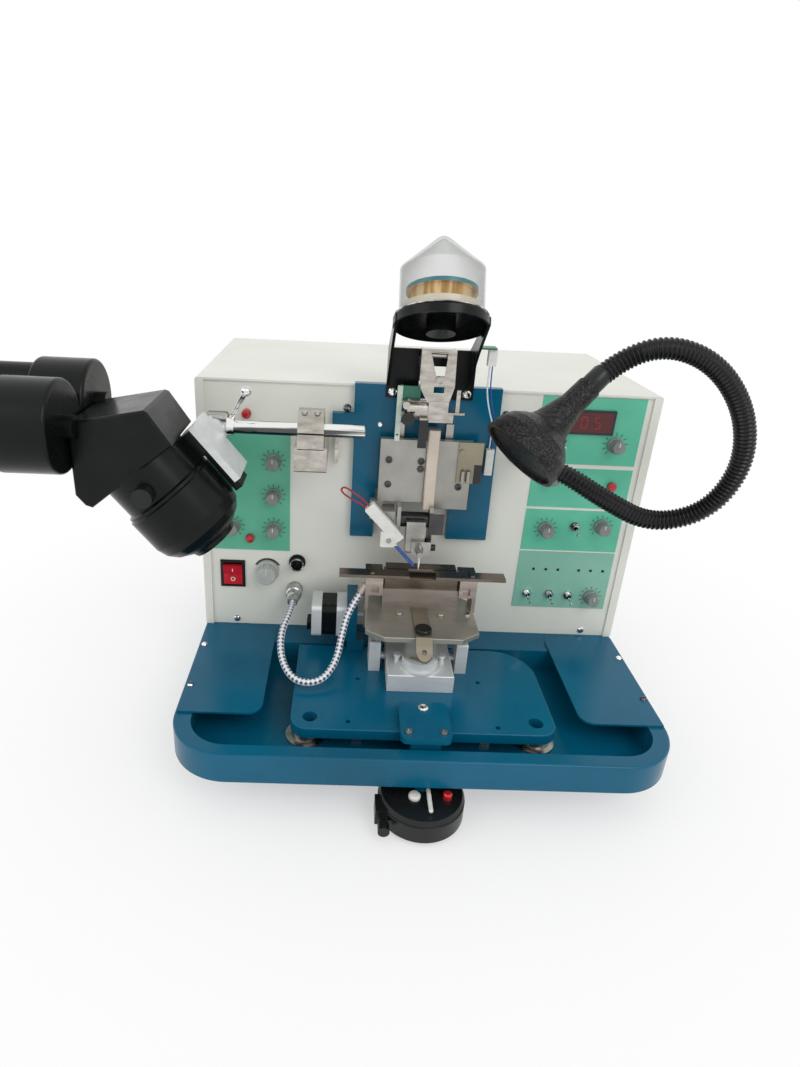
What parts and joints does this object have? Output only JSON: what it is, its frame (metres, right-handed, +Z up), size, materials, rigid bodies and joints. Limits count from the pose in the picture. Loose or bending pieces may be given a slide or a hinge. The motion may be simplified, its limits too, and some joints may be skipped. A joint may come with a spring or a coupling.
{
  "type": "wire bonder",
  "caption": "Manual bench wire bonder: control cabinet on a stage tray, bonding head with wire spool, heated work holder, microscope on an arm and gooseneck lamp.",
  "frame": {"origin": "middle of the four hold-down holes in the rubber feet, on the bench surface", "axes": "+X to the operator's right, +Y to the back, +Z up; the control panel's face is y = 0"},
  "size_m": [0.6586, 0.4555, 0.4628],
  "materials": {
    "teal_paint": "gloss",
    "cabinet_paint": "satin",
    "green_sheet": "satin",
    "grey_plastic": "matte",
    "black_plastic": "matte",
    "red_plastic": "gloss",
    "white_plastic": "gloss",
    "clear_plastic": "clear",
    "teal_plastic": "gloss",
    "milled_aluminium": "satin",
    "ground_steel": "ground",
    "bright_chrome": "polished",
    "black_enamel": "wrinkle",
    "black_rubber": "matte",
    "foot_rubber": "matte"
  },
  "bodies": {
    "base": {"rubber_feet": "foot_rubber", "tray": "teal_paint", "cabinet_cover": "cabinet_paint", "front_panel": "cabinet_paint", "panel_sheets": "green_sheet", "electrical_sockets": "black_plastic", "frame_screws": "ground_steel", "hand_rests": "teal_paint", "head_plate": "teal_paint", "spool_bracket": "black_enamel", "rod_bracket": "bright_chrome", "guide_rails": "ground_steel", "heater_cable": "black_rubber", "lamp_gooseneck": "black_rubber", "wire_feed": "milled_aluminium"},
    "cross_slide": {"cross_carriage": "ground_steel"},
    "stage": {"stage_plate": "teal_paint", "stage_brackets": "teal_paint", "hand_control_body": "black_plastic", "drive_motor": "black_enamel", "step_rails": "milled_aluminium"},
    "white_button": {"hand_control_white_button": "white_plastic"},
    "red_button": {"hand_control_red_button": "red_plastic"},
    "hand_lever": {"hand_control_lever": "white_plastic"},
    "step_slide": {"step_carriage": "milled_aluminium"},
    "work_holder": {"work_table": "milled_aluminium", "heater_assembly": "milled_aluminium"},
    "clamp_screw": {"clamp_knob": "black_plastic"},
    "head": {"head_slide": "milled_aluminium"},
    "arm": {"bond_arm": "black_enamel"},
    "torch": {"torch_wand": "white_plastic"},
    "spool": {"wire_spool": "teal_plastic"},
    "cover": {"spool_cover": "clear_plastic"},
    "rod": {"microscope_rod": "bright_chrome"},
    "end_block": {"rod_end_block": "milled_aluminium"},
    "focus": {"focus_mount": "milled_aluminium"},
    "microscope": {"microscope_body": "black_enamel"},
    "zoom": {"zoom_knob": "black_plastic"},
    "near_eye": {"near_ocular": "black_enamel"},
    "far_eye": {"far_ocular": "black_enamel"},
    "lamp": {"lamp_head": "black_enamel"},
    "rocker": {"power_rocker": "red_plastic"},
    "knob_search_height_1_body": {"knob_search_height_1": "grey_plastic"},
    "knob_bond_power_1_body": {"knob_bond_power_1": "grey_plastic"},
    "knob_bond_time_1_body": {"knob_bond_time_1": "grey_plastic"},
    "knob_bond_force_1_body": {"knob_bond_force_1": "grey_plastic"},
    "knob_temperature_body": {"knob_temperature": "grey_plastic"},
    "knob_spark_current_body": {"knob_spark_current": "grey_plastic"},
    "knob_spark_time_body": {"knob_spark_time": "grey_plastic"},
    "knob_tail_length_body": {"knob_tail_length": "grey_plastic"},
    "knob_loop_height_body": {"knob_loop_height": "grey_plastic"},
    "knob_light_body": {"knob_light": "grey_plastic"},
    "button_thread_lamp_body": {"button_thread_lamp": "red_plastic"},
    "button_reset_body": {"button_reset": "red_plastic"},
    "button_spark_test_body": {"button_spark_test": "red_plastic"},
    "toggle_heater_body": {"toggle_heater": "bright_chrome"},
    "toggle_spark_body": {"toggle_spark": "bright_chrome"},
    "toggle_mode_body": {"toggle_mode": "bright_chrome"},
    "toggle_step_body": {"toggle_step": "bright_chrome"},
    "toggle_clamp_body": {"toggle_clamp": "bright_chrome"}
  },
  "joints": [
    {"name": "stage_fore_aft", "type": "slide", "parent": "base", "child": "cross_slide", "axis": [0, 1, 0], "range_m": [-0.0005, 0.009], "deforming": ["heater_cable"]},
    {"name": "stage_across", "type": "slide", "parent": "cross_slide", "child": "stage", "axis": [1, 0, 0], "range_m": [-0.006, 0.006], "deforming": ["heater_cable"]},
    {"name": "white_button_press", "type": "slide", "parent": "stage", "child": "white_button", "axis": [0, 0, -1], "range_m": [0, 0.0015], "stiffness_N_per_m": 300},
    {"name": "red_button_press", "type": "slide", "parent": "stage", "child": "red_button", "axis": [0, 0, -1], "range_m": [0, 0.0015], "stiffness_N_per_m": 300},
    {"name": "hand_lever_swing", "type": "hinge", "parent": "stage", "child": "hand_lever", "pos_m": [0.004, -0.196, 0.026], "axis": [0, 0, 1], "range_deg": [-6, 6], "stiffness_Nm_per_rad": 0.02},
    {"name": "step_travel", "type": "slide", "parent": "stage", "child": "step_slide", "axis": [0, 1, 0], "range_m": [-0.004, 0.004], "deforming": ["heater_cable"]},
    {"name": "table_turn", "type": "hinge", "parent": "step_slide", "child": "work_holder", "pos_m": [0, -0.097, 0.1], "axis": [0, 0, 1], "range_deg": [-5, 5], "deforming": ["heater_cable"]},
    {"name": "clamp_knob_turn", "type": "hinge", "parent": "work_holder", "child": "clamp_screw", "pos_m": [0, -0.101, 0.13], "axis": [0, 0, 1], "continuous": true},
    {"name": "head_up_down", "type": "slide", "parent": "base", "child": "head", "axis": [0, 0, 1], "range_m": [-0.0015, 0.008]},
    {"name": "arm_rock", "type": "hinge", "parent": "head", "child": "arm", "pos_m": [-0.0087, -0.027, 0.208], "axis": [1, 0, 0], "range_deg": [-1.5, 1.5], "stiffness_Nm_per_rad": 2},
    {"name": "torch_swing", "type": "hinge", "parent": "head", "child": "torch", "pos_m": [-0.033, -0.04, 0.192], "axis": [0, 1, 0], "range_deg": [0, 8]},
    {"name": "spool_spin", "type": "hinge", "parent": "base", "child": "spool", "pos_m": [-0.0043, -0.06, 0.402], "axis": [0, 0.4368, 0.8996], "continuous": true},
    {"name": "cover_lift", "type": "slide", "parent": "base", "child": "cover", "axis": [0, 0.4368, 0.8996], "range_m": [0, 0.06]},
    {"name": "rod_slide", "type": "slide", "parent": "base", "child": "rod", "axis": [1, 0, 0], "range_m": [-0.012, 0.012]},
    {"name": "rod_turn", "type": "hinge", "parent": "rod", "child": "end_block", "pos_m": [-0.192, -0.05, 0.3], "axis": [1, 0, 0], "range_deg": [-20, 10]},
    {"name": "scope_tilt", "type": "hinge", "parent": "end_block", "child": "focus", "pos_m": [-0.192, -0.062, 0.3], "axis": [0, 1, 0], "range_deg": [-10, 10]},
    {"name": "focus_travel", "type": "slide", "parent": "focus", "child": "microscope", "axis": [0.6388, 0, -0.7694], "range_m": [-0.008, 0.008]},
    {"name": "zoom_turn", "type": "hinge", "parent": "microscope", "child": "zoom", "pos_m": [-0.23125, -0.105, 0.27027], "axis": [0, 1, 0], "range_deg": [-120, 120]},
    {"name": "near_eye_turn", "type": "hinge", "parent": "microscope", "child": "near_eye", "pos_m": [-0.309, -0.142, 0.3215], "axis": [1, 0, 0], "range_deg": [-8, 8]},
    {"name": "far_eye_turn", "type": "hinge", "parent": "microscope", "child": "far_eye", "pos_m": [-0.309, -0.068, 0.3215], "axis": [1, 0, 0], "range_deg": [-8, 8]},
    {"name": "lamp_turn", "type": "hinge", "parent": "base", "child": "lamp", "pos_m": [0.0625, -0.108, 0.3025], "axis": [0.6874, 0.2842, 0.6684], "range_deg": [-90, 90]},
    {"name": "power_rocker_press", "type": "hinge", "parent": "base", "child": "rocker", "pos_m": [-0.19, 0.0015, 0.1272], "axis": [1, 0, 0], "range_deg": [-16, 0]},
    {"name": "knob_search_height_1_turn", "type": "hinge", "parent": "base", "child": "knob_search_height_1_body", "pos_m": [-0.1473, 0, 0.2525], "axis": [0, 1, 0], "range_deg": [-150, 150]},
    {"name": "knob_bond_power_1_turn", "type": "hinge", "parent": "base", "child": "knob_bond_power_1_body", "pos_m": [-0.1473, 0, 0.2167], "axis": [0, 1, 0], "range_deg": [-150, 150]},
    {"name": "knob_bond_time_1_turn", "type": "hinge", "parent": "base", "child": "knob_bond_time_1_body", "pos_m": [-0.1473, 0, 0.1805], "axis": [0, 1, 0], "range_deg": [-150, 150]},
    {"name": "knob_bond_force_1_turn", "type": "hinge", "parent": "base", "child": "knob_bond_force_1_body", "pos_m": [-0.1886, 0, 0.1821], "axis": [0, 1, 0], "range_deg": [-150, 150]},
    {"name": "knob_temperature_turn", "type": "hinge", "parent": "base", "child": "knob_temperature_body", "pos_m": [0.1828, 0, 0.2833], "axis": [0, 1, 0], "range_deg": [-150, 150]},
    {"name": "knob_spark_current_turn", "type": "hinge", "parent": "base", "child": "knob_spark_current_body", "pos_m": [0.1263, 0, 0.2488], "axis": [0, 1, 0], "range_deg": [-150, 150]},
    {"name": "knob_spark_time_turn", "type": "hinge", "parent": "base", "child": "knob_spark_time_body", "pos_m": [0.1292, 0, 0.1923], "axis": [0, 1, 0], "range_deg": [-150, 150]},
    {"name": "knob_tail_length_turn", "type": "hinge", "parent": "base", "child": "knob_tail_length_body", "pos_m": [0.1856, 0, 0.1969], "axis": [0, 1, 0], "range_deg": [-150, 150]},
    {"name": "knob_loop_height_turn", "type": "hinge", "parent": "base", "child": "knob_loop_height_body", "pos_m": [0.1894, 0, 0.1147], "axis": [0, 1, 0], "range_deg": [-150, 150]},
    {"name": "knob_light_turn", "type": "hinge", "parent": "base", "child": "knob_light_body", "pos_m": [-0.1539, 0, 0.1319], "axis": [0, 1, 0], "range_deg": [-150, 150]},
    {"name": "button_thread_lamp_press", "type": "slide", "parent": "base", "child": "button_thread_lamp_body", "axis": [0, 1, 0], "range_m": [0, 0.002], "stiffness_N_per_m": 300},
    {"name": "button_reset_press", "type": "slide", "parent": "base", "child": "button_reset_body", "axis": [0, 1, 0], "range_m": [0, 0.002], "stiffness_N_per_m": 300},
    {"name": "button_spark_test_press", "type": "slide", "parent": "base", "child": "button_spark_test_body", "axis": [0, 1, 0], "range_m": [0, 0.002], "stiffness_N_per_m": 300},
    {"name": "toggle_heater_throw", "type": "hinge", "parent": "base", "child": "toggle_heater_body", "pos_m": [0.1302, -0.0024, 0.2858], "axis": [1, 0, 0], "range_deg": [-24, 0]},
    {"name": "toggle_spark_throw", "type": "hinge", "parent": "base", "child": "toggle_spark_body", "pos_m": [0.1585, -0.0024, 0.1955], "axis": [1, 0, 0], "range_deg": [-24, 0]},
    {"name": "toggle_mode_throw", "type": "hinge", "parent": "base", "child": "toggle_mode_body", "pos_m": [0.1208, -0.0024, 0.1168], "axis": [1, 0, 0], "range_deg": [-24, 0]},
    {"name": "toggle_step_throw", "type": "hinge", "parent": "base", "child": "toggle_step_body", "pos_m": [0.1444, -0.0024, 0.1165], "axis": [1, 0, 0], "range_deg": [-24, 0]},
    {"name": "toggle_clamp_throw", "type": "hinge", "parent": "base", "child": "toggle_clamp_body", "pos_m": [0.1648, -0.0024, 0.1161], "axis": [1, 0, 0], "range_deg": [-24, 0]}
  ],
  "couplings": [
    {"joint": "far_eye_turn", "follows": "near_eye_turn", "ratio": -1}
  ]
}
